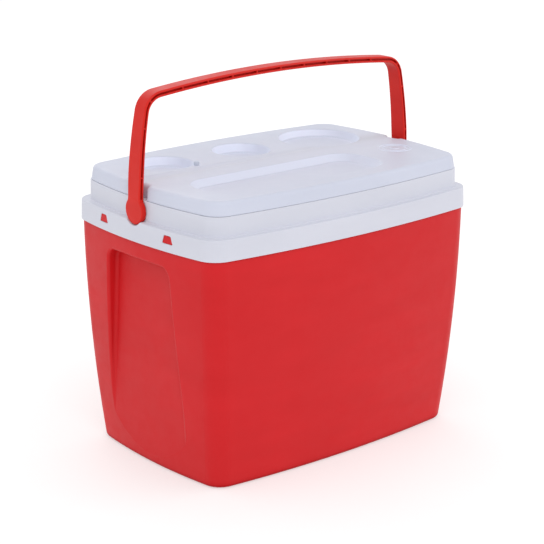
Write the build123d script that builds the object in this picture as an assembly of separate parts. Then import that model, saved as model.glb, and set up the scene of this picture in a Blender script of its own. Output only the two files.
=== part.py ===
from build123d import *
import os
from math import hypot

os.makedirs("parts", exist_ok=True)

# Insulated hand cooler. +Z up, +X along the long side, origin at the middle of the base. Millimetres.
# Every plan outline is a rectangle with bowed sides and rounded corners. It is given by its half length
# at mid end, its half depth at mid side and its corner radius.

# ---- driving dimensions ----
SIDE_BOW_R = 1520.0          # plan radius of the long sides
BODY_END_BOW_R = 738.0       # plan radius of the body's and skirt's ends
BAND_END_BOW_R = 615.0       # plan radius of the band's, lid's and handle's ends

BODY_TOP = (220.0, 149.9)    # half length, half depth of the red body under the collar
BODY_BASE = (201.7, 132.9)   # the same at the base
NECK_TOP = (219.4, 148.6)    # the same at the top of the neck inside the skirt
BODY_CORNER_R = 26.0
BODY_SHOULDER_Z = 290.5      # where the body goes in under the skirt
BODY_TOP_Z = 310.5
BASE_FILLET = 5.5
SHELL_WALL = 2.2
SHELL_FLOOR = 2.6

SKIRT_BOTTOM = (222.5, 152.4)
SKIRT_TOP = (222.1, 151.0)
SKIRT_CORNER_R = 27.4
SKIRT_WALL = 2.2
LEDGE_Z = 316.3
LEDGE_THICK = 2.5
LEDGE_FILLET = 1.6
LEDGE_ROOT_FILLET = 1.0
SKIRT_HEM_FILLET = 0.8
BAND_FILLET = 1.0
BAND_BOTTOM = (213.6, 142.9)
BAND_TOP = (213.2, 142.5)
BAND_CORNER_R = 26.0
BAND_WALL = 2.4
DECK_Z = 341.0
DECK_THICK = 2.4

LINER_TOP = (188.0, 119.0)   # outside of the storage tub at its mouth
LINER_BASE = (174.0, 106.0)
LINER_CORNER_R = 24.0
LINER_WALL = 1.8
LINER_BASE_Z = 25.0
LINER_FLANGE = 8.0

LID_BOTTOM = (211.7, 142.1)
LID_TOP = (209.3, 140.0)
LID_CORNER_R = 25.7
LID_SEAM_Z = 341.5
LID_TOP_Z = 358.3
LID_FILLET = 5.4
LID_WALL = 2.2

PIVOT_Z = 327.9
BAIL_GAP = 0.5               # between the band and the inside of the handle
BAIL_THICK = (6.6, 7.8)      # on the arms, on the grip bar
BAIL_FOOT_HALF = 11.4        # half width at the pivot, inside the disc
BAIL_BELLY_HALF = 12.2       # widest, a little above the disc
BAIL_BELLY_RISE = 42.0       # above the pivot
BAIL_BELLY_R = 500.0
BAIL_CROWN_HALF = 10.1       # half width at the top of the grip bar
BAIL_BOW_R = 1750.0
BAIL_CORNER_R = 21.0         # inside the elbows
DISC_R = 16.9
STUD_R = 5.0
BORE_R = 5.06
STUD_TIP_X = 204.0
BOSS_R = 9.0

FIT = 0.3                    # between pieces that sit inside each other
BEYOND = 240.0               # past every end face
ENDS = (-1, 1)


# ---- outlines and lofts ----
def corner_centre(size, corner, end_bow, side_bow=SIDE_BOW_R):
    """Centre of the corner arc that is tangent to the end arc and the side arc."""
    end_centre_x = size[0] - end_bow
    side_centre_y = size[1] - side_bow
    to_end = end_bow - corner
    to_side = side_bow - corner
    apart = hypot(end_centre_x, side_centre_y)
    unit_x = -end_centre_x / apart
    unit_y = side_centre_y / apart
    along = (to_end**2 - to_side**2 + apart**2) / (2 * apart)
    across = (to_end**2 - along**2) ** 0.5
    return (end_centre_x + along * unit_x - across * unit_y, along * unit_y + across * unit_x)


def bowed_outline(size, corner, end_bow, z=0.0, side_bow=SIDE_BOW_R):
    """Face bounded by two end arcs, two side arcs and four tangent corner arcs."""
    half_length, half_depth = size
    end_centre_x = half_length - end_bow
    side_centre_y = half_depth - side_bow
    to_end = end_bow - corner
    to_side = side_bow - corner
    cx, cy = corner_centre(size, corner, end_bow, side_bow)
    ex, ey = (cx - end_centre_x) / to_end, cy / to_end
    sx, sy = cx / to_side, (cy - side_centre_y) / to_side
    mid = hypot(ex + sx, ey + sy)
    on_end = (cx + corner * ex, cy + corner * ey)
    on_side = (cx + corner * sx, cy + corner * sy)
    on_corner = (cx + corner * (ex + sx) / mid, cy + corner * (ey + sy) / mid)

    def at(point, sign_x, sign_y):
        return (sign_x * point[0], sign_y * point[1], z)

    edges = [
        ThreePointArc(at(on_end, 1, -1), (half_length, 0, z), at(on_end, 1, 1)),
        ThreePointArc(at(on_end, 1, 1), at(on_corner, 1, 1), at(on_side, 1, 1)),
        ThreePointArc(at(on_side, 1, 1), (0, half_depth, z), at(on_side, -1, 1)),
        ThreePointArc(at(on_side, -1, 1), at(on_corner, -1, 1), at(on_end, -1, 1)),
        ThreePointArc(at(on_end, -1, 1), (-half_length, 0, z), at(on_end, -1, -1)),
        ThreePointArc(at(on_end, -1, -1), at(on_corner, -1, -1), at(on_side, -1, -1)),
        ThreePointArc(at(on_side, -1, -1), (0, -half_depth, z), at(on_side, 1, -1)),
        ThreePointArc(at(on_side, 1, -1), at(on_corner, 1, -1), at(on_end, 1, -1)),
    ]
    return Face(Wire(edges))


def offset_size(size, inset):
    return (size[0] - inset, size[1] - inset)


def ring_loft(low, low_z, high, high_z, corner, end_bow, inset=0.0):
    """Solid between two bowed outlines, both taken in by the same inset."""
    sections = [
        bowed_outline(offset_size(low, inset), corner - inset, end_bow - inset, low_z),
        bowed_outline(offset_size(high, inset), corner - inset, end_bow - inset, high_z),
    ]
    return loft(sections, ruled=True)


def body_size(z):
    """Half length and half depth of the convex body wall at a height below the shoulder."""
    drop = 1 - z / BODY_SHOULDER_Z
    share = 0.12 * drop + 0.88 * drop**2
    return tuple(top - (top - base) * share for top, base in zip(BODY_TOP, BODY_BASE))


def body_solid(inset, floor_z, top_z):
    """The body's convex tapered form, taken in by an inset, from a floor height to a top height."""
    heights = [floor_z + (BODY_SHOULDER_Z - floor_z) * step / 4 for step in range(5)]
    corner = BODY_CORNER_R - inset
    bow = BODY_END_BOW_R - inset
    lower = loft([bowed_outline(offset_size(body_size(z), inset), corner, bow, z) for z in heights])
    neck = ring_loft(BODY_TOP, BODY_SHOULDER_Z, NECK_TOP, top_z, BODY_CORNER_R, BODY_END_BOW_R, inset)
    return lower + neck


def both_ends(make):
    """The same solid at the +X and the -X end."""
    solid = make()
    return [solid, mirror(solid, about=Plane.YZ)]


def cut_all(solid, tools):
    for tool in tools:
        solid = solid - tool
    return solid


def edges_within(solid, low, high):
    """Edges of a solid whose whole length lies in a box."""
    found = []
    for edge in solid.edges():
        span = edge.bounding_box()
        inside = [low[i] <= tuple(span.min)[i] and tuple(span.max)[i] <= high[i] for i in range(3)]
        if all(inside):
            found.append(edge)
    return found


def end_cylinder(radius, x_from, x_to, z):
    """Cylinder along X on the middle plane."""
    return Pos(0.5 * (x_from + x_to), 0, z) * Rot(0, 90, 0) * Cylinder(radius, abs(x_to - x_from))


# ---- hand-grip recess in each end of the body ----
GRIP_FACE_X = 203.2
GRIP_TOP_Z = 267.0
GRIP_LOW_Z = 12.0
GRIP_HALF_TOP = 58.5
GRIP_HALF_LOW = 79.0
GRIP_CORNER_R = 13.0
GRIP_DRAFT = 8.0
GRIP_REACH = 40.0
GRIP_FLOOR_FILLET = 4.5
GRIP_RIM_FILLET = 3.5


def grip_prism(grow=0.0):
    """Block outside a flat upright face; its side walls and ceiling open outwards with draft."""
    profile = Polygon(
        (-GRIP_HALF_LOW - grow, GRIP_LOW_Z),
        (GRIP_HALF_LOW + grow, GRIP_LOW_Z),
        (GRIP_HALF_TOP + grow, GRIP_TOP_Z + grow),
        (-GRIP_HALF_TOP - grow, GRIP_TOP_Z + grow),
        align=None,
    )
    upper = profile.vertices().sort_by(Axis.Y)[-2:]
    profile = fillet(upper, GRIP_CORNER_R + grow)
    face_x = GRIP_FACE_X - grow
    prism = extrude(Plane.YZ.offset(face_x) * profile, GRIP_REACH, taper=-GRIP_DRAFT)
    floor_edges = prism.faces().sort_by(Axis.X)[0].edges()
    above_foot = floor_edges.filter_by(lambda edge: edge.center().Z > GRIP_LOW_Z + 1)
    return fillet(above_foot, GRIP_FLOOR_FILLET + grow)


def grip_rim(body, end):
    """The long edges where the recess leaves the body's outside at one end."""
    near, far = sorted((end * GRIP_FACE_X, end * BEYOND))
    around = edges_within(body, (near, -80, 70), (far, 80, GRIP_TOP_Z + 5))
    return [edge for edge in around if edge.length > GRIP_CORNER_R * 1.3]


# ---- snap windows in the collar's skirt, with the body's tabs behind them ----
WINDOW_Y = 64.0
WINDOW_LOW_Z = 300.4
WINDOW_HEIGHT = 10.2
WINDOW_HALF_LOW = 9.2
WINDOW_HALF_TOP = 5.9
WINDOW_LOW_CORNER_R = 1.0
WINDOW_TOP_CORNER_R = 2.4
WINDOW_RIM_FILLET = 0.4
WINDOW_NEAR_X = 218.0        # between the skirt's outer and inner faces at a window
TAB_SHRINK = 0.4
TAB_SINK = 0.5               # tab face below the skirt's surface
TAB_ROOT_X = 215.2


def window_prism(shrink, x_from, x_to):
    """Trapezoid block along X at both places on the +X end."""
    low = WINDOW_LOW_Z + shrink
    high = WINDOW_LOW_Z + WINDOW_HEIGHT - shrink
    profile = Polygon(
        (-WINDOW_HALF_LOW + shrink, low),
        (WINDOW_HALF_LOW - shrink, low),
        (WINDOW_HALF_TOP - shrink, high),
        (-WINDOW_HALF_TOP + shrink, high),
        align=None,
    )
    by_height = profile.vertices().sort_by(Axis.Y)
    profile = fillet(by_height[-2:], WINDOW_TOP_CORNER_R)
    profile = fillet(profile.vertices().sort_by(Axis.Y)[:2], WINDOW_LOW_CORNER_R)
    block = extrude(Plane.YZ.offset(x_from) * profile, x_to - x_from)
    return Pos(0, -WINDOW_Y, 0) * block + Pos(0, WINDOW_Y, 0) * block


# ---- clearance for the handle's discs ----
SCALLOP_R = DISC_R + 1.0
POCKET_WALL = 2.2
POCKET_R = SCALLOP_R + POCKET_WALL
POCKET_FACE_X = 211.5
SHELL_CUT_X = 205.0


def outer_shell():
    outer = body_solid(0, 0, BODY_TOP_Z)
    outer = fillet(outer.edges().group_by(Axis.Z)[0], BASE_FILLET)
    inner = body_solid(SHELL_WALL, SHELL_FLOOR, BODY_TOP_Z + 1)
    outer = cut_all(outer, both_ends(grip_prism))
    for end in ENDS:
        outer = fillet(grip_rim(outer, end), GRIP_RIM_FILLET)
    inner = cut_all(inner, both_ends(lambda: grip_prism(SHELL_WALL)))
    shell = outer - inner
    pocket = both_ends(lambda: end_cylinder(POCKET_R + FIT, SHELL_CUT_X, BEYOND, PIVOT_Z))
    shell = cut_all(shell, pocket)
    tab_limit = ring_loft(SKIRT_BOTTOM, BODY_SHOULDER_Z, SKIRT_TOP, LEDGE_Z,
                          SKIRT_CORNER_R, BODY_END_BOW_R, TAB_SINK)
    for tabs in both_ends(lambda: window_prism(TAB_SHRINK, TAB_ROOT_X, BEYOND)):
        shell = shell + ((tabs & tab_limit) - inner)
    return shell


def flat_edges(solid, z):
    """Edges of a solid that lie wholly at one height."""
    return edges_within(solid, (-BEYOND, -BEYOND, z - 0.01), (BEYOND, BEYOND, z + 0.01))


def window_rim(collar, end, side):
    """Edges of one window on the skirt's outer face."""
    near, far = sorted((end * WINDOW_NEAR_X, end * BEYOND))
    low_y, high_y = sorted((side * (WINDOW_Y - 12), side * (WINDOW_Y + 12)))
    top_z = WINDOW_LOW_Z + WINDOW_HEIGHT + 0.5
    return edges_within(collar, (near, low_y, WINDOW_LOW_Z - 0.5), (far, high_y, top_z))


def band_foot(outside):
    """Edges where the band rises from the ledge: the inner boundary of the flat ledge face."""
    level = outside.faces().filter_by(Axis.Z)
    ledge = level.filter_by(lambda face: abs(face.center().Z - LEDGE_Z) < 0.01)[0]
    return ledge.inner_wires()[0].edges()


def rim_collar():
    skirt = ring_loft(SKIRT_BOTTOM, BODY_SHOULDER_Z, SKIRT_TOP, LEDGE_Z, SKIRT_CORNER_R, BODY_END_BOW_R)
    skirt = fillet(flat_edges(skirt, LEDGE_Z), LEDGE_FILLET)
    skirt = fillet(flat_edges(skirt, BODY_SHOULDER_Z), SKIRT_HEM_FILLET)
    under_ledge = LEDGE_Z - LEDGE_THICK
    hollow = ring_loft(SKIRT_BOTTOM, BODY_SHOULDER_Z - 1, SKIRT_TOP, under_ledge,
                       SKIRT_CORNER_R, BODY_END_BOW_R, SKIRT_WALL)
    band = ring_loft(BAND_BOTTOM, under_ledge, BAND_TOP, DECK_Z, BAND_CORNER_R, BAND_END_BOW_R)
    band = fillet(flat_edges(band, DECK_Z), BAND_FILLET)
    band_hollow = ring_loft(BAND_BOTTOM, under_ledge - 1, BAND_TOP, DECK_Z - DECK_THICK,
                            BAND_CORNER_R, BAND_END_BOW_R, BAND_WALL)
    outside = skirt + band
    outside = fillet(band_foot(outside), LEDGE_ROOT_FILLET)
    mouth = bowed_outline(offset_size(LINER_TOP, LINER_WALL), LINER_CORNER_R - LINER_WALL,
                          BODY_END_BOW_R, DECK_Z - 10)
    collar = outside - hollow - band_hollow - extrude(mouth, 20)
    for pocket in both_ends(lambda: end_cylinder(POCKET_R, POCKET_FACE_X, BEYOND, PIVOT_Z)):
        collar = collar + (pocket & skirt)
    for boss in both_ends(lambda: end_cylinder(BOSS_R, STUD_TIP_X - 1, BAND_BOTTOM[0] - 1.6, PIVOT_Z)):
        collar = collar + boss
    collar = cut_all(collar, both_ends(lambda: end_cylinder(SCALLOP_R, BAND_BOTTOM[0], BEYOND, PIVOT_Z)))
    collar = cut_all(collar, both_ends(lambda: end_cylinder(BORE_R, 200, BEYOND, PIVOT_Z)))
    collar = cut_all(collar, both_ends(lambda: window_prism(0, TAB_ROOT_X, BEYOND)))
    for end in ENDS:
        for side in ENDS:
            collar = fillet(window_rim(collar, end, side), WINDOW_RIM_FILLET)
    return collar


def liner_solid(inset, floor_z):
    return ring_loft(LINER_BASE, floor_z, LINER_TOP, DECK_Z - DECK_THICK - 0.2,
                     LINER_CORNER_R, BODY_END_BOW_R, inset)


def inner_liner():
    top_z = DECK_Z - DECK_THICK - 0.2
    tub = liner_solid(0, LINER_BASE_Z)
    tub = fillet(tub.edges().group_by(Axis.Z)[0], 8.0)
    flange_size = offset_size(LINER_TOP, -LINER_FLANGE)
    flange = extrude(bowed_outline(flange_size, LINER_CORNER_R + LINER_FLANGE, BODY_END_BOW_R, top_z), -2.0)
    hollow = liner_solid(LINER_WALL, LINER_BASE_Z + LINER_WALL)
    hollow = fillet(hollow.edges().group_by(Axis.Z)[0], 6.0)
    return tub + flange - hollow


# ---- insulation ----
FOAM_TOP_Z = 307.0
FOAM_LOW_Z = 25.0
FOAM_SPLIT_X = 168.0


def foam_space():
    """Room between the shell and the liner above the base slab."""
    space = body_solid(SHELL_WALL + FIT, SHELL_FLOOR + FIT, FOAM_TOP_Z)
    space = cut_all(space, both_ends(lambda: grip_prism(SHELL_WALL + FIT)))
    space = space - liner_solid(-FIT, LINER_BASE_Z - FIT)
    return space


def wall_slabs():
    space = foam_space()
    tall = FOAM_TOP_Z - FOAM_LOW_Z
    mid_z = 0.5 * (FOAM_TOP_Z + FOAM_LOW_Z)
    side_box = Pos(0, 200, mid_z) * Box(2 * FOAM_SPLIT_X, 400, tall)
    end_box = Pos(FOAM_SPLIT_X + 100 + 0.2, 0, mid_z) * Box(200, 400, tall)
    back = space & side_box
    right = space & end_box
    return {
        "insulation_back": back,
        "insulation_front": mirror(back, about=Plane.XZ),
        "insulation_right": right,
        "insulation_left": mirror(right, about=Plane.YZ),
    }


def insulation_base():
    top_z = FOAM_LOW_Z - FIT
    low_z = SHELL_FLOOR + 0.2
    sections = [
        bowed_outline(offset_size(body_size(z), SHELL_WALL + FIT), BODY_CORNER_R - SHELL_WALL,
                      BODY_END_BOW_R, z)
        for z in (low_z, top_z)
    ]
    slab = loft(sections, ruled=True)
    return cut_all(slab, both_ends(lambda: grip_prism(SHELL_WALL + FIT)))


# ---- lid ----
CUP_R = 38.0
CUP_SPOTS = ((-122.0, 72.0), (1.0, 70.0))
CUP_DEPTH = 12.0
CUP_SLOPE = 19.0             # degrees from upright of the side wall
BOWL_R = 54.0
BOWL_SPOT = (126.0, 60.0)
BOWL_DEPTH = 10.0
BOWL_SLOPE = 24.0
TRAY_SPAN = ((-170.0, -112.0), (98.0, -22.0))
TRAY_CORNER_R = 34.0
TRAY_DEPTH = 9.0
TRAY_SLOPE = 45.0
RECESS_FLOOR_FILLET = 3.5
RECESS_RIM_FILLET = 2.6
ABOVE_LID = 4.0
NOTCH_HALF = 10.8
NOTCH_FACE_X = 203.5
NOTCH_CORNER_R = 3.0
NOTCH_MOUTH_R = 5.8
VALLEY_Y = 19.0              # shallow groove from the left notch between the cups and the tray
VALLEY_R = 30.0
VALLEY_DEPTH = 2.6
VALLEY_RISE = 0.42           # degrees, so that it runs out before the lid's middle
PLUG_SPOT = (-97.5, 36.5)
PLUG_R = 3.6
PLUG_RISE = 5.4
PLUG_DEPTH = 3.1
PLUG_DOME = 2.2
EMBLEM_SPOT = (160.0, -50.0)
EMBLEM_RINGS = ((22.0, 20.4), (16.0, 14.8), (6.0, 0.0))
EMBLEM_RISE = 0.5


def sunk(sketch, depth, slope, grow=0.0):
    """Recess with sloping walls, cut down from the lid's top; grow makes the lump inside the shell."""
    wide = Pos(0, 0, LID_TOP_Z) * (offset(sketch, grow) if grow else sketch)
    bowl = extrude(wide, -(depth + grow), taper=slope)
    bowl = fillet(bowl.edges().group_by(Axis.Z)[0], RECESS_FLOOR_FILLET)
    return bowl + extrude(wide, ABOVE_LID)


def recess_cuts(grow=0.0):
    (x0, y0), (x1, y1) = TRAY_SPAN
    tray = Pos(0.5 * (x0 + x1), 0.5 * (y0 + y1)) * RectangleRounded(x1 - x0, y1 - y0, TRAY_CORNER_R)
    cuts = [sunk(Pos(*spot) * Circle(CUP_R), CUP_DEPTH, CUP_SLOPE, grow) for spot in CUP_SPOTS]
    cuts.append(sunk(Pos(*BOWL_SPOT) * Circle(BOWL_R), BOWL_DEPTH, BOWL_SLOPE, grow))
    cuts.append(sunk(tray, TRAY_DEPTH, TRAY_SLOPE, grow))
    return cuts


def valley_cut(grow=0.0):
    """Long cylinder whose underside shaves the groove; it climbs slowly towards +X."""
    axis_z = LID_TOP_Z + VALLEY_R - VALLEY_DEPTH
    groove = Rot(0, 90 - VALLEY_RISE, 0) * Cylinder(VALLEY_R + grow, 600)
    return Pos(-LID_BOTTOM[0], VALLEY_Y, axis_z) * groove


def notch_prism(grow=0.0):
    """Upright slot in the lid's end that lets the handle's arm stand in it."""
    face = NOTCH_FACE_X - grow
    block = Pos(face + 20, 0, 350) * Box(40, 2 * (NOTCH_HALF + grow), 60)
    inner = block.edges().filter_by(Axis.Z).group_by(Axis.X)[0]
    return fillet(inner, NOTCH_CORNER_R + grow)


def notch_mouths(lid):
    """The four upright edges where the notches leave the lid's ends."""
    found = []
    for end in ENDS:
        near, far = sorted((end * (NOTCH_FACE_X + NOTCH_CORNER_R), end * BEYOND))
        low = (near, -NOTCH_HALF - 1, LID_SEAM_Z - 1)
        around = edges_within(lid, low, (far, NOTCH_HALF + 1, LID_TOP_Z + 1))
        found += [edge for edge in around if edge.bounding_box().size.Z > NOTCH_HALF]
    return found


def lid_top_shell():
    outer = ring_loft(LID_BOTTOM, LID_SEAM_Z, LID_TOP, LID_TOP_Z, LID_CORNER_R, BAND_END_BOW_R)
    outer = cut_all(outer, both_ends(notch_prism))
    outer = fillet(notch_mouths(outer), NOTCH_MOUTH_R)
    outer = fillet(flat_edges(outer, LID_TOP_Z), LID_FILLET)
    inner = ring_loft(LID_BOTTOM, LID_SEAM_Z - 1, LID_TOP, LID_TOP_Z - LID_WALL,
                      LID_CORNER_R, BAND_END_BOW_R, LID_WALL)
    outer = cut_all(outer, recess_cuts())
    rims = [edge for edge in flat_edges(outer, LID_TOP_Z) if around_recess(edge.center())]
    outer = fillet(rims, RECESS_RIM_FILLET) - valley_cut()
    inner = cut_all(inner, recess_cuts(LID_WALL) + [valley_cut(LID_WALL)])
    inner = cut_all(inner, both_ends(lambda: notch_prism(LID_WALL)))
    shell = outer - inner
    for ring_outer, ring_inner in EMBLEM_RINGS:
        ring = Circle(ring_outer) - Circle(ring_inner) if ring_inner else Circle(ring_outer)
        disc = extrude(Pos(*EMBLEM_SPOT, LID_TOP_Z - EMBLEM_RISE) * ring, 2 * EMBLEM_RISE)
        shell = shell + fillet(disc.edges().group_by(Axis.Z)[-1], 0.6 * EMBLEM_RISE)
    return shell - Pos(*PLUG_SPOT, LID_TOP_Z) * Cylinder(PLUG_R, 20)


def around_recess(point):
    """True for a point over the lid's middle, where the recesses are, and False over its edge."""
    return abs(point.X) < LID_TOP[0] - 25 and abs(point.Y) < LID_TOP[1] - 20


def lid_fill_plug():
    mid_z = LID_TOP_Z + 0.5 * (PLUG_RISE - PLUG_DEPTH)
    stem = Pos(*PLUG_SPOT, mid_z) * Cylinder(PLUG_R - 0.1, PLUG_RISE + PLUG_DEPTH)
    return fillet(stem.edges().group_by(Axis.Z)[-1], PLUG_DOME)


PAN_SIZE = (183.5, 114.5)
PAN_CORNER_R = 20.0
PAN_WALL = 2.0
PAN_FLOOR_Z = 327.0
PAN_REST_Z = DECK_Z + 0.2
LID_FOAM_TOP_Z = 355.0


def lid_inner_pan():
    flange_low = bowed_outline(offset_size(LID_BOTTOM, LID_WALL + 2 * FIT), LID_CORNER_R - LID_WALL,
                               BAND_END_BOW_R, PAN_REST_Z)
    flange = extrude(flange_low, PAN_WALL)
    plug = ring_loft(offset_size(PAN_SIZE, 1.0), PAN_FLOOR_Z, PAN_SIZE, PAN_REST_Z + PAN_WALL,
                     PAN_CORNER_R, BODY_END_BOW_R)
    plug = fillet(plug.edges().group_by(Axis.Z)[0], 3.0)
    hollow = ring_loft(offset_size(PAN_SIZE, 1.0), PAN_FLOOR_Z + PAN_WALL,
                       PAN_SIZE, PAN_REST_Z + PAN_WALL + 1, PAN_CORNER_R, BODY_END_BOW_R, PAN_WALL)
    pan = flange + plug - hollow
    return cut_all(pan, both_ends(lambda: notch_prism(LID_WALL + FIT)))


def lid_insulation():
    step_z = PAN_REST_Z + PAN_WALL + 0.1
    low = ring_loft(offset_size(PAN_SIZE, 1.0), PAN_FLOOR_Z + PAN_WALL + 0.2, PAN_SIZE, step_z,
                    PAN_CORNER_R, BODY_END_BOW_R, PAN_WALL + FIT)
    wide = offset_size(LID_TOP, LID_WALL + 2.0)
    step = bowed_outline(wide, LID_CORNER_R - LID_WALL, BAND_END_BOW_R, step_z)
    high = extrude(step, LID_FOAM_TOP_Z - step_z)
    foam = cut_all(low + high, recess_cuts(LID_WALL + FIT) + [valley_cut(LID_WALL + FIT)])
    return cut_all(foam, both_ends(lambda: notch_prism(LID_WALL + 1.0)))


# ---- handle ----
GROOVE_DEPTH = 4.5
GROOVE_SKIN = 1.9            # left on the outside of the pockets
GROOVE_WIDTH = 2.4
RIB = 1.6
BAR_RIB_PITCH = 38.1
ARM_RIB_Z = (369.0, 427.0)
GROOVE_LOW_Z = 343.0
ARM_BLEND_R = 6.0


def bail_size(grow):
    """Half length and reach of the handle's outline at a distance outside its inner face."""
    share = grow / BAIL_THICK[0]
    return (BAND_BOTTOM[0] + BAIL_GAP + grow, BAND_BOTTOM[1] + BAIL_GAP + BAIL_THICK[1] * share)


def bail_outline(grow):
    """Upper half of the band's outline, stood upright on the pivot line."""
    size = bail_size(grow)
    whole = bowed_outline(size, BAIL_CORNER_R + grow, BAND_END_BOW_R, side_bow=BAIL_BOW_R)
    upper = Pos(0, 100) * Rectangle(500, 200)
    return Pos(0, PIVOT_Z) * (Sketch() + whole & upper)


def handle_bail():
    inner_x = BAND_BOTTOM[0] + BAIL_GAP
    outer_x = inner_x + BAIL_THICK[0]
    bow = bail_outline(BAIL_THICK[0]) - bail_outline(0)
    leg = Rectangle(BAIL_THICK[0], 2 * DISC_R)
    for side in ENDS:
        bow = bow + Pos(side * 0.5 * (inner_x + outer_x), PIVOT_Z) * leg
    front = extrude(Plane.XZ * bow, DISC_R + 1, both=True)

    crown_z = PIVOT_Z + bail_size(BAIL_THICK[0])[1]
    belly_z = PIVOT_Z + BAIL_BELLY_RISE
    strip = Polygon(
        (-BAIL_FOOT_HALF, PIVOT_Z), (BAIL_FOOT_HALF, PIVOT_Z), (BAIL_BELLY_HALF, belly_z),
        (BAIL_CROWN_HALF, crown_z), (-BAIL_CROWN_HALF, crown_z), (-BAIL_BELLY_HALF, belly_z), align=None,
    )
    end_view = Pos(0, PIVOT_Z) * Circle(DISC_R) + strip
    bellies = [v for v in end_view.vertices() if abs(v.Y - belly_z) < 1]
    end_view = fillet(bellies, BAIL_BELLY_R)
    necks = [v for v in end_view.vertices() if PIVOT_Z < v.Y < PIVOT_Z + DISC_R]
    end_view = fillet(necks, ARM_BLEND_R)
    sides = extrude(Plane.YZ * end_view, BEYOND, both=True)
    bail = front & sides

    groove_out = BAIL_THICK[0] - GROOVE_SKIN
    channel = bail_outline(groove_out) - bail_outline(groove_out - GROOVE_WIDTH)
    channel = channel & Pos(0, GROOVE_LOW_Z + 100) * Rectangle(500, 200)
    elbow_x, elbow_y = corner_centre(bail_size(0), BAIL_CORNER_R, BAND_END_BOW_R, BAIL_BOW_R)
    for step in range(-4, 5):
        channel = channel - Pos(step * BAR_RIB_PITCH, 470) * Rectangle(RIB, 60)
    for side in ENDS:
        for z in ARM_RIB_Z:
            channel = channel - Pos(side * 205, z) * Rectangle(60, RIB)
        elbow_rib = Pos(side * elbow_x, PIVOT_Z + elbow_y) * Rot(0, 0, side * 45) * Rectangle(60, RIB)
        channel = channel - elbow_rib
    groove = extrude(Plane.XZ * channel, GROOVE_DEPTH + 2)
    for side in ENDS:
        start = side * (BAIL_CROWN_HALF - GROOVE_DEPTH)
        tool = groove if side < 0 else mirror(groove, about=Plane.XZ)
        bail = bail - Pos(0, start, 0) * tool
    for stud in both_ends(lambda: end_cylinder(STUD_R, STUD_TIP_X, inner_x + 1, PIVOT_Z)):
        bail = bail + stud
    return bail


def main():
    nodes = {
        "outer_shell": outer_shell(),
        "rim_collar": rim_collar(),
        "inner_liner": inner_liner(),
        "insulation_base": insulation_base(),
        "lid_top_shell": lid_top_shell(),
        "lid_fill_plug": lid_fill_plug(),
        "lid_insulation": lid_insulation(),
        "lid_inner_pan": lid_inner_pan(),
        "handle_bail": handle_bail(),
    }
    nodes.update(wall_slabs())
    for name, solid in nodes.items():
        export_step(solid, f"parts/{name}.step")


main()
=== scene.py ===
import math

import bmesh
import bpy
import numpy as np
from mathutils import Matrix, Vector


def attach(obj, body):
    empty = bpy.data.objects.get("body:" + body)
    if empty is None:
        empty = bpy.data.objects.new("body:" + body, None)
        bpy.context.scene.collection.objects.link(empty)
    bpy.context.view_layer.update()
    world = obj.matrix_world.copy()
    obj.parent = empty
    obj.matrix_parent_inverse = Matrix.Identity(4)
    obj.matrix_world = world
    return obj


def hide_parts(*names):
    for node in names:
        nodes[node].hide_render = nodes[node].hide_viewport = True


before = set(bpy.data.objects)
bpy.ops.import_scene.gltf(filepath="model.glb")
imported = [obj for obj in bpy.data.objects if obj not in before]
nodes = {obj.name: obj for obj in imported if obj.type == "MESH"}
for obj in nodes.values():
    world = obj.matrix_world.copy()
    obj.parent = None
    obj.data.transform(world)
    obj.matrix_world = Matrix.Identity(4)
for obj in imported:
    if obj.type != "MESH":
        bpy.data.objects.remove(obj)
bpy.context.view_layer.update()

MM = 0.001


# ---- shader nodes ----
class Nodes:
    """Small helper that adds shader nodes to a new material and links them."""

    def __init__(self, name):
        self.material = bpy.data.materials.new(name)
        self.material.use_nodes = True
        self.tree = self.material.node_tree
        self.tree.nodes.clear()

    def add(self, kind, inputs=None, **settings):
        node = self.tree.nodes.new(kind)
        for key, value in settings.items():
            setattr(node, key, value)
        for key, value in (inputs or {}).items():
            if isinstance(value, bpy.types.NodeSocket):
                self.tree.links.new(value, node.inputs[key])
            else:
                node.inputs[key].default_value = value
        return node

    def noise(self, coordinates, scale, detail=3.0, roughness=0.5):
        inputs = {"Vector": coordinates, "Scale": scale, "Detail": detail, "Roughness": roughness}
        return self.add("ShaderNodeTexNoise", inputs).outputs["Fac"]

    def remap(self, value, low, high, start=0.3, stop=0.7):
        inputs = {"Value": value, "From Min": start, "From Max": stop, "To Min": low, "To Max": high}
        return self.add("ShaderNodeMapRange", inputs).outputs["Result"]

    def maths(self, operation, *values, use_clamp=False):
        node = self.add("ShaderNodeMath", dict(enumerate(values)), operation=operation, use_clamp=use_clamp)
        return node.outputs[0]

    def mix(self, share, first, second):
        """Colour between two, each a socket or a plain RGB triple."""
        ends = [end if isinstance(end, bpy.types.NodeSocket) else (*end, 1.0) for end in (first, second)]
        inputs = {"Factor": share, "A": ends[0], "B": ends[1]}
        return self.add("ShaderNodeMix", inputs, data_type="RGBA").outputs["Result"]

    def finish(self, inputs):
        shader = self.add("ShaderNodeBsdfPrincipled", inputs)
        self.add("ShaderNodeOutputMaterial", {"Surface": shader.outputs[0]})
        return self.material


# ---- shading that follows the lid's shape, in metres ----
RECESS_AREA = {"X": 0.186, "Y": 0.118}      # half sizes of the part of the lid that holds the recesses
RECESS_FADE = 0.006
RECESS_REACH = 0.02
CORNER_REACH = 0.012
VALLEY_Y = 0.015
VALLEY_HALF = 0.02
VALLEY_FLAT_X = 0.09                        # the shade grows from here
VALLEY_DEEP_X = 0.15                        # to here, towards the ends of the lid


# occlusion mask that places painted shade and painted light in inside corners and recesses
def shut_in(n, reach, shut, clear):
    """1 in tight inside corners, fading to 0 in the open; reach is in metres."""
    open_sky = n.add("ShaderNodeAmbientOcclusion", {"Distance": reach}, samples=8).outputs["AO"]
    return n.remap(open_sky, 1.0, 0.0, shut, clear)


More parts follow.
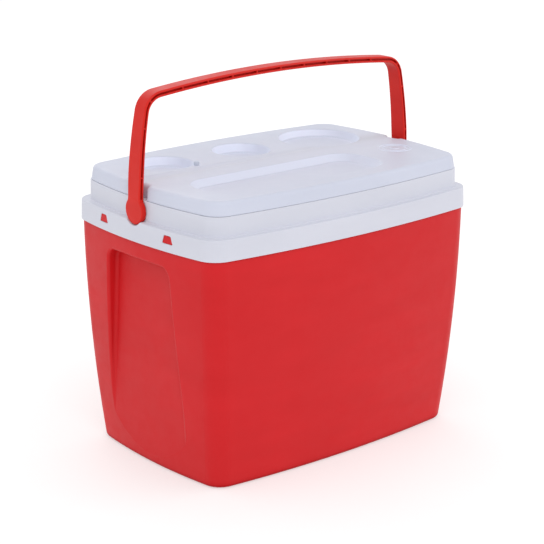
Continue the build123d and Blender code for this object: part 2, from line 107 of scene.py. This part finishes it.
def recess_walls(n):
    """Share of painted light: 1 on the long sloping walls of the lid's recesses and in their inside corners,
    fading out on flat ground and outside their area.
    """
    coordinates = n.add("ShaderNodeTexCoord").outputs
    spot = n.add("ShaderNodeSeparateXYZ", {"Vector": coordinates["Object"]}).outputs
    facing = n.add("ShaderNodeSeparateXYZ", {"Vector": coordinates["Normal"]}).outputs
    slope = n.remap(facing["Z"], 1.0, 0.0, 0.45, 1.0)
    lengthwise = n.remap(n.maths("ABSOLUTE", facing["Y"]), 0.4, 1.0, 0.2, 0.85)
    slope = n.maths("MULTIPLY", slope, lengthwise)
    share = n.maths("MAXIMUM", slope, shut_in(n, RECESS_REACH, 0.45, 0.95))
    for axis, half in RECESS_AREA.items():
        near = n.remap(n.maths("ABSOLUTE", spot[axis]), 1.0, 0.0, half, half + RECESS_FADE)
        share = n.maths("MULTIPLY", share, near)
    return share


def valley_shade(n):
    """Share of soft shade along the valley between the cup row and the tray, deeper towards the ends."""
    place = n.add("ShaderNodeTexCoord").outputs["Object"]
    spot = n.add("ShaderNodeSeparateXYZ", {"Vector": place}).outputs
    across = n.maths("ABSOLUTE", n.maths("ADD", spot["Y"], -VALLEY_Y))
    along = n.maths("ABSOLUTE", spot["X"])
    return n.maths("MULTIPLY", n.remap(across, 1.0, 0.0, 0.0, VALLEY_HALF),
                   n.remap(along, 0.5, 1.0, VALLEY_FLAT_X, VALLEY_DEEP_X))


# ---- materials; pattern scales are in features per metre ----
CLOUD_SCALE = 7.0
FLOW_SCALE = 2.4
FLOW_STRETCH = (3.0, 3.0, 14.0)
FLECK_SCALE = 1500.0
RUB_SCALE = 60.0
HAZE_SCALE = 16.0
WAVE_SCALE = 26.0
WAVE_HEIGHT = 0.0004
PIT_HEIGHT = 0.00012
BEAD_SCALE = 280.0
FOAM_TINT_SCALE = 9.0
SEAM_HEIGHT = 0.0004


def pigment(n, place, light, deep):
    """Cloudy pigment with faint flow marks and fine flecks."""
    cloud = n.remap(n.noise(place, CLOUD_SCALE, 4.0, 0.55), 0.0, 1.0)
    stretched = n.add("ShaderNodeMapping", {"Vector": place, "Scale": FLOW_STRETCH}).outputs["Vector"]
    flow = n.remap(n.noise(stretched, FLOW_SCALE, 3.0, 0.5), 0.0, 1.0)
    fleck = n.remap(n.noise(place, FLECK_SCALE, 1.0, 0.5), 0.0, 1.0, 0.35, 0.65)
    mixed = n.maths("MULTIPLY_ADD", cloud, flow, n.maths("MULTIPLY", flow, 0.25))
    return n.mix(n.maths("MULTIPLY_ADD", fleck, 0.08, mixed), deep, light)


def handled(n, place, rough):
    """Roughness with rubbed spots and hazy areas around a mean."""
    rubbed = n.remap(n.noise(place, RUB_SCALE, 5.0, 0.65), -0.04, 0.05, 0.35, 0.65)
    hazy = n.remap(n.noise(place, HAZE_SCALE, 2.0, 0.5), -0.03, 0.03)
    return n.maths("ADD", n.maths("ADD", rubbed, hazy), rough, use_clamp=True)


def grained(n, place, grain, grain_size):
    """Normals of a slightly wavy face with fine spark-eroded pits."""
    pits = n.noise(place, grain_size, 2.0, 0.6)
    wave = n.noise(place, WAVE_SCALE, 2.0, 0.4)
    soft = n.add("ShaderNodeBump", {"Height": wave, "Strength": 0.12, "Distance": WAVE_HEIGHT})
    inputs = {"Height": pits, "Strength": grain, "Distance": PIT_HEIGHT, "Normal": soft.outputs["Normal"]}
    return n.add("ShaderNodeBump", inputs).outputs["Normal"]


def moulded_plastic(name, light, deep, rough, grain, grain_size,
                    sheen=0.5, scatter=0.0, recess_light=None, corner=None):
    """Injection-moulded polypropylene.

    recess_light is painted light: a lighter, bluer colour laid on the long walls of the lid's recesses and in
    their inside corners;
    corner is a colour painted into tight inside corners, as painted shade where it is darker and painted
    light where it is lighter; there the shine is also turned down.
    """
    n = Nodes(name)
    place = n.add("ShaderNodeTexCoord").outputs["Object"]
    colour = pigment(n, place, light, deep)
    # painted light on the lid's recess walls, and painted shade along the valley between the cups and the
    # tray
    if recess_light:
        shade = (0.90 * light[0], 0.90 * light[1], 0.88 * light[2])
        colour = n.mix(valley_shade(n), colour, shade)
        colour = n.mix(recess_walls(n), colour, recess_light)
    # painted shade (darker corner colour) and painted light (lighter corner colour) in tight inside corners,
    # with the shine turned down there as well
    if corner:
        tight = shut_in(n, CORNER_REACH, 0.4, 0.9)
        colour = n.mix(tight, colour, corner)
        sheen = n.remap(tight, sheen, 0.2 * sheen, 0.0, 1.0)
    return n.finish({
        "Base Color": colour,
        "Roughness": handled(n, place, rough),
        "Specular IOR Level": sheen,
        "IOR": 1.49,
        "Subsurface Weight": scatter,
        "Subsurface Radius": (1.0, 0.9, 0.85),
        "Subsurface Scale": 0.002,
        "Normal": grained(n, place, grain, grain_size),
    })


def bead_foam(name):
    """Expanded polystyrene: packed cells with darker seams between the beads."""
    n = Nodes(name)
    place = n.add("ShaderNodeTexCoord").outputs["Object"]
    cells = n.add("ShaderNodeTexVoronoi", {"Vector": place, "Scale": BEAD_SCALE}, feature="DISTANCE_TO_EDGE")
    seam = n.remap(cells.outputs["Distance"], 0.0, 1.0, 0.0, 0.12)
    tint = n.remap(n.noise(place, FOAM_TINT_SCALE), 0.0, 1.0)
    bead = n.mix(tint, (0.80, 0.80, 0.78), (0.88, 0.88, 0.87))
    bump = n.add("ShaderNodeBump", {"Height": seam, "Strength": 0.5, "Distance": SEAM_HEIGHT})
    return n.finish({
        "Base Color": n.mix(seam, (0.60, 0.60, 0.58), bead),
        "Roughness": n.remap(tint, 0.6, 0.8, 0.0, 1.0),
        "Normal": bump.outputs["Normal"],
    })


# shell: its darker corner colour is painted shade in inside corners, such as under the collar and in the grip
# recess
shell_red = moulded_plastic("shell_red", (0.585, 0.006, 0.010), (0.54, 0.004, 0.007), 0.48, 0.20, 2600.0,
                            sheen=0.27, corner=(0.40, 0.003, 0.005))
handle_red = moulded_plastic("handle_red", (0.635, 0.012, 0.005), (0.575, 0.008, 0.003), 0.42, 0.14, 2200.0,
                             sheen=0.25)
# collar: its lighter corner colour is painted light in inside corners, such as where the band meets the ledge
collar_white = moulded_plastic("collar_white", (0.61, 0.62, 0.695), (0.58, 0.59, 0.665), 0.44, 0.06, 2400.0,
                               sheen=0.4, scatter=0.08, corner=(0.70, 0.71, 0.79))
# lid: painted light on its recess walls and painted shade along the valley
lid_white = moulded_plastic("lid_white", (0.575, 0.60, 0.705), (0.545, 0.57, 0.675), 0.44, 0.06, 2400.0,
                            sheen=0.4, scatter=0.08, recess_light=(0.81, 0.855, 0.99))
liner_white = moulded_plastic("liner_white", (0.78, 0.79, 0.82), (0.74, 0.75, 0.79), 0.34, 0.08, 2000.0,
                              scatter=0.08)
plug_grey = moulded_plastic("plug_grey", (0.56, 0.61, 0.71), (0.51, 0.56, 0.66), 0.55, 0.15, 3000.0)
foam = bead_foam("foam")

finishes = {
    "outer_shell": shell_red,
    "rim_collar": collar_white,
    "inner_liner": liner_white,
    "lid_top_shell": lid_white,
    "lid_inner_pan": liner_white,
    "lid_fill_plug": plug_grey,
    "lid_insulation": foam,
    "insulation_base": foam,
    "insulation_front": foam,
    "insulation_back": foam,
    "insulation_left": foam,
    "insulation_right": foam,
    "handle_bail": handle_red,
}
for name, material in finishes.items():
    mesh = nodes[name].data
    mesh.materials.clear()
    mesh.materials.append(material)


# ---- swing handle, in millimetres ----
BAIL_BOW_R = 1750.0              # long arc of the grip bar
BAIL_END_BOW_R = 615.0           # long arc of each arm
BAIL_INNER = (214.1, 143.4)      # half length and reach above the pivot of the inner face
BAIL_CORNER_R = 21.0
BAIL_THICK = (6.6, 7.8)          # on the arms, on the grip bar
BAIL_FOOT_HALF = 11.4            # half width at the pivot, inside the disc
BAIL_BELLY_HALF = 12.2           # widest, a little above the disc
BAIL_BELLY_RISE = 42.0
BAIL_BELLY_R = 500.0
BAIL_CROWN_HALF = 10.1
PIVOT_Z = 327.9
CROWN_Z = PIVOT_Z + BAIL_INNER[1] + BAIL_THICK[1]
DISC_R = 16.9
STUD_R = 5.0
STUD_TIP_X = 204.0
STUD_CHAMFER = 0.8
STUD_OVERLAP = 1.0               # how far the stud runs into the disc
ARM_BLEND_R = 6.0
EDGE_R = 1.7                     # outer edges of the arms, the bar and the discs
INNER_EDGE_R = 0.6 * EDGE_R
DISC_BACK_R = 0.9
AXIS_R = 0.5                     # radius at which the turned shapes are closed
GROOVE_DEPTH = 4.5               # at the crown, where the bar is narrowest
GROOVE_SKIN = 1.9 / BAIL_THICK[0]       # shares of the thickness
GROOVE_WIDTH = 2.4 / BAIL_THICK[0]
GROOVE_LOW_Z = 343.0
RIB = 1.6
ARM_RIB_Z = (369.0, 427.0)
BAR_RIB_PITCH = 38.1
BAR_RIB_STEPS = 4                # ribs on each side of the middle one
STATION = 3.0                    # spacing of the sections along the handle
STEP_HALF = 0.02                 # half length of the step at each end of a pocket
STEP_CLEAR = 0.8                 # no other section this close to a step
ARC_POINTS = 400
DISC_STEPS = 64
STUD_STEPS = 40
EDGE_TURN = 18                   # degrees between the points of the discs' rounded edges


def bow_arcs(size, corner):
    """(centre, radius, start angle, end angle) of the three arcs of a quarter outline, side to middle."""
    a, b = size
    end_x, side_y = a - BAIL_END_BOW_R, b - BAIL_BOW_R
    to_end, to_side = BAIL_END_BOW_R - corner, BAIL_BOW_R - corner
    apart = math.hypot(end_x, side_y)
    ux, uy = -end_x / apart, side_y / apart
    along = (to_end**2 - to_side**2 + apart**2) / (2 * apart)
    across = math.sqrt(to_end**2 - along**2)
    cx, cy = end_x + along * ux - across * uy, along * uy + across * ux
    end_turn = math.atan2(cy, cx - end_x)
    side_turn = math.atan2(cy - side_y, cx)
    return (((end_x, 0.0), BAIL_END_BOW_R, 0.0, end_turn),
            ((cx, cy), corner, end_turn, side_turn),
            ((0.0, side_y), BAIL_BOW_R, side_turn, math.pi / 2))


def bow_line(size, corner):
    """Upper half of an outline of the handle: points (X, Z) from the +X pivot to the -X pivot."""
    found = []
    for (cx, cy), radius, start, stop in bow_arcs(size, corner):
        turn = np.linspace(start, stop, ARC_POINTS)[:-1]
        found.append(np.stack([cx + radius * np.cos(turn), cy + radius * np.sin(turn)], axis=1))
    half = np.vstack(found + [np.array([[0.0, size[1]]])])
    other = half[-2::-1] * np.array([-1.0, 1.0])
    return np.vstack([half, other]) + np.array([0.0, PIVOT_Z])


BAIL_OUTER = (BAIL_INNER[0] + BAIL_THICK[0], BAIL_INNER[1] + BAIL_THICK[1])
inner_line = bow_line(BAIL_INNER, BAIL_CORNER_R)
outer_line = bow_line(BAIL_OUTER, BAIL_CORNER_R + BAIL_THICK[0])
middle_line = 0.5 * (inner_line + outer_line)
run = np.concatenate([[0.0], np.cumsum(np.linalg.norm(np.diff(middle_line, axis=0), axis=1))])
whole = run[-1]
crown = len(run) // 2


def at(line, s):
    """Point of a line at a distance along the handle."""
    return np.array([np.interp(s, run, line[:, 0]), np.interp(s, run, line[:, 1])])


def run_at_height(z):
    """Distance along the handle, from the +X pivot, at which its +X half is at a height."""
    return float(np.interp(z, middle_line[:crown, 1], run[:crown]))


def taper(z):
    """Half of the handle's width at a height: two straight slopes joined by a long arc at the belly."""
    belly_z = PIVOT_Z + BAIL_BELLY_RISE
    low_slope = (BAIL_BELLY_HALF - BAIL_FOOT_HALF) / BAIL_BELLY_RISE
    high_slope = (BAIL_CROWN_HALF - BAIL_BELLY_HALF) / (CROWN_Z - belly_z)
    reach = 0.5 * BAIL_BELLY_R * (low_slope - high_slope)
    rise = z - belly_z
    if abs(rise) >= reach:
        return BAIL_BELLY_HALF + rise * (high_slope if rise > 0 else low_slope)
    start = BAIL_BELLY_HALF - reach * low_slope
    along = rise + reach
    return start + low_slope * along - along**2 / (2 * BAIL_BELLY_R)


def half_width(z):
    """Tapered half width with the necks that widen into the discs."""
    straight = taper(PIVOT_Z + 0.7 * DISC_R)
    neck_y = straight + ARM_BLEND_R
    reach = DISC_R + ARM_BLEND_R
    neck_z = PIVOT_Z + math.sqrt(reach**2 - neck_y**2)
    if z >= neck_z:
        return taper(z)
    touch_y, touch_z = neck_y * DISC_R / reach, PIVOT_Z + (neck_z - PIVOT_Z) * DISC_R / reach
    if z <= touch_z:
        return touch_y
    return neck_y - math.sqrt(ARM_BLEND_R**2 - (neck_z - z) ** 2)


def elbow_place():
    """Middle of the +X corner, measured along the handle."""
    _, corner, _ = bow_arcs(BAIL_INNER, BAIL_CORNER_R)
    out = (corner[1] + 0.5 * BAIL_THICK[0]) * math.sqrt(0.5)
    point = np.array([corner[0][0] + out, PIVOT_Z + corner[0][1] + out])
    return float(run[np.argmin(np.linalg.norm(middle_line - point, axis=1))])


def rib_places():
    """Distances along the handle of the middle of each rib across its pockets."""
    sides = [run_at_height(z) for z in ARM_RIB_Z] + [elbow_place()]
    places = sides + [whole - s for s in sides]
    order = np.argsort(middle_line[:, 0])
    for step in range(-BAR_RIB_STEPS, BAR_RIB_STEPS + 1):
        x = step * BAR_RIB_PITCH
        places.append(float(np.interp(x, middle_line[order, 0], run[order])))
    return sorted(places)


def stations():
    """(distance along the handle, whether the section there has pockets), in order."""
    groove_from = run_at_height(GROOVE_LOW_Z)
    edges = [(groove_from, True), (whole - groove_from, False)]
    for place in rib_places():
        edges += [(place - RIB / 2, False), (place + RIB / 2, True)]
    count = int(whole / STATION)
    plain = [k * whole / count for k in range(count + 1)]
    marks = [(s, None) for s in plain if all(abs(s - edge) > STEP_CLEAR for edge, _ in edges)]
    for s, opens in edges:
        marks += [(s - STEP_HALF, not opens), (s + STEP_HALF, opens)]
    marks.sort()
    cut = False
    for s, change in marks:
        if change is not None:
            cut = change
        yield s, cut


def round_corner(cx, cy, radius, start, steps=4):
    return [(cx + radius * math.cos(math.radians(start + 90 * k / steps)),
             cy + radius * math.sin(math.radians(start + 90 * k / steps))) for k in range(steps + 1)]


def section(thick, half, depth):
    """Closed outline (distance from the inner face, Y), anticlockwise, with a pocket in each Y face."""
    g1 = thick * (1 - GROOVE_SKIN)
    g0 = g1 - thick * GROOVE_WIDTH
    outer, inner = EDGE_R, INNER_EDGE_R
    points = round_corner(thick - outer, -half + outer, outer, -90)
    points += round_corner(thick - outer, half - outer, outer, 0)
    points += [(g1, half), (g1, half - depth), (g0, half - depth), (g0, half)]
    points += round_corner(inner, half - inner, inner, 90, 3)
    points += round_corner(inner, -half + inner, inner, 180, 3)
    points += [(g0, -half), (g0, -half + depth), (g1, -half + depth), (g1, -half)]
    return points


def add_loops(bm, loops):
    """Closed skin over rings of points given in millimetres."""
    rings = [[bm.verts.new(Vector(p) * MM) for p in loop] for loop in loops]
    count = len(rings[0])
    for low, high in zip(rings, rings[1:]):
        for k in range(count):
            bm.faces.new((low[k], low[(k + 1) % count], high[(k + 1) % count], high[k]))
    bm.faces.new(rings[0][::-1])
    bm.faces.new(rings[-1])


def add_lathe(bm, side, profile, steps):
    """Closed solid of revolution about the pivot axis; profile is (x, radius) from one end to the other."""
    loops = []
    for x, radius in profile:
        loops.append([(side * x, radius * math.cos(2 * math.pi * k / steps),
                       PIVOT_Z + radius * math.sin(2 * math.pi * k / steps)) for k in range(steps)])
    add_loops(bm, loops)


def add_bow(bm):
    """Arms and grip bar, swept as one."""
    loops = []
    for s, cut in stations():
        inside, outside = at(inner_line, s), at(outer_line, s)
        thick = float(np.linalg.norm(outside - inside))
        half = half_width(float(0.5 * (inside[1] + outside[1])))
        depth = half - (BAIL_CROWN_HALF - GROOVE_DEPTH) if cut else 0.0
        loop = []
        for f, y in section(thick, half, depth):
            x, z = inside + (outside - inside) * (f / thick)
            loop.append((x, y, z))
        loops.append(loop)
    add_loops(bm, loops)


def add_disc(bm, side):
    """Disc end of one arm, with its pivot stud."""
    inner_x, outer_x = BAIL_INNER[0], BAIL_OUTER[0]
    turns = [math.radians(t) for t in range(0, 91, EDGE_TURN)]
    front = [(outer_x + EDGE_R * (math.sin(t) - 1), DISC_R + EDGE_R * (math.cos(t) - 1)) for t in turns]
    back = [(inner_x - DISC_BACK_R * (math.sin(t) - 1), DISC_R + DISC_BACK_R * (math.cos(t) - 1))
            for t in reversed(turns)]
    add_lathe(bm, side, [(inner_x, AXIS_R)] + back + front + [(outer_x, AXIS_R)], DISC_STEPS)
    stud = [(STUD_TIP_X, AXIS_R), (STUD_TIP_X, STUD_R - STUD_CHAMFER), (STUD_TIP_X + STUD_CHAMFER, STUD_R),
            (inner_x + STUD_OVERLAP, STUD_R)]
    add_lathe(bm, side, stud, STUD_STEPS)


def handle_mesh():
    bm = bmesh.new()
    add_bow(bm)
    for side in (1, -1):
        add_disc(bm, side)
    bmesh.ops.recalc_face_normals(bm, faces=bm.faces)
    mesh = bpy.data.meshes.new("swing_handle")
    bm.to_mesh(mesh)
    bm.free()
    mesh.polygons.foreach_set("use_smooth", [True] * len(mesh.polygons))
    return mesh


handle = bpy.data.objects.new("swing_handle", handle_mesh())
bpy.context.scene.collection.objects.link(handle)
handle.data.materials.append(handle_red)
soften = handle.modifiers.new("pocket_edges", "BEVEL")
soften.width = 0.35 * MM
soften.segments = 2
soften.limit_method = "ANGLE"
soften.angle_limit = math.radians(50)
weigh = handle.modifiers.new("even_shading", "WEIGHTED_NORMAL")
weigh.keep_sharp = True
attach(handle, "handle")
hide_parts("handle_bail")


# ---- stage, in metres ----
FLOOR_HALF = 14.0
FLOOR_Z = -0.0002
FLOOR_TINT_SCALE = 1.5
FLOOR_GLOW = 0.42                # keeps the floor near white where the lamps are weak
WORLD_STRENGTH = 0.97
LAMPS = {
    # name: place, aim, size, watts
    "key": ((-1.4, -2.2, 2.6), (0, 0, 0.2), (1.8, 1.4), 17.0),
    "fill": ((2.4, -1.6, 1.5), (0, 0, 0.2), (1.6, 1.6), 7.0),
    "back": ((0.8, 2.4, 2.2), (0, 0, 0.3), (2.0, 1.0), 9.0),
}


def pale(name, low, high, rough):
    n = Nodes(name)
    place = n.add("ShaderNodeTexCoord").outputs["Object"]
    tint = n.remap(n.noise(place, FLOOR_TINT_SCALE, 4.0), 0.0, 1.0)
    return n.finish({
        "Base Color": n.mix(tint, (low, low, low), (high, high, high)),
        "Roughness": rough,
        "Specular IOR Level": 0.1,
        "Emission Color": (1.0, 1.0, 1.0, 1.0),
        "Emission Strength": FLOOR_GLOW,
    })


def make_floor():
    half = FLOOR_HALF
    mesh = bpy.data.meshes.new("floor")
    corners = [(-half, -half, 0), (half, -half, 0), (half, half, 0), (-half, half, 0)]
    mesh.from_pydata(corners, [], [(0, 1, 2, 3)])
    mesh.materials.append(pale("floor_pale", 0.59, 0.62, 0.8))
    floor = bpy.data.objects.new("floor", mesh)
    floor.location.z = FLOOR_Z
    bpy.context.scene.collection.objects.link(floor)


def light_world():
    world = bpy.data.worlds.new("studio")
    bpy.context.scene.world = world
    world.use_nodes = True
    background = world.node_tree.nodes["Background"]
    background.inputs["Color"].default_value = (1.0, 1.0, 1.0, 1.0)
    background.inputs["Strength"].default_value = WORLD_STRENGTH


def soft_light(name, place, aim, size, watts):
    data = bpy.data.lights.new(name, "AREA")
    data.shape = "RECTANGLE"
    data.size, data.size_y = size
    data.energy = watts
    light = bpy.data.objects.new(name, data)
    light.location = place
    light.rotation_euler = (Vector(aim) - Vector(place)).to_track_quat("-Z", "Y").to_euler()
    bpy.context.scene.collection.objects.link(light)


make_floor()
light_world()
for name, setting in LAMPS.items():
    soft_light(name, *setting)


# ---- camera ----
AZIMUTH = math.radians(-40.29)
ELEVATION = math.radians(16.83)
ROLL = 0.00294                   # radians
DISTANCE = 2.2317
AIM = Vector((0.0, 0.0, 0.2094))
LENS = 114.95                    # millimetres
SENSOR = 36.0                    # millimetres
SHIFT_X = -0.0058

outward = Vector((math.sin(AZIMUTH) * math.cos(ELEVATION),
                  -math.cos(AZIMUTH) * math.cos(ELEVATION),
                  math.sin(ELEVATION)))
camera_data = bpy.data.cameras.new("camera")
camera_data.sensor_width = SENSOR
camera_data.lens = LENS
camera_data.shift_x = SHIFT_X
camera_data.clip_end = 60.0
camera = bpy.data.objects.new("camera", camera_data)
camera.location = AIM + outward * DISTANCE
camera.rotation_euler = (-outward).to_track_quat("-Z", "Y").to_euler()
camera.rotation_euler.rotate_axis("Z", ROLL)
bpy.context.scene.collection.objects.link(camera)
bpy.context.scene.camera = camera
bpy.context.scene.view_settings.view_transform = "Standard"
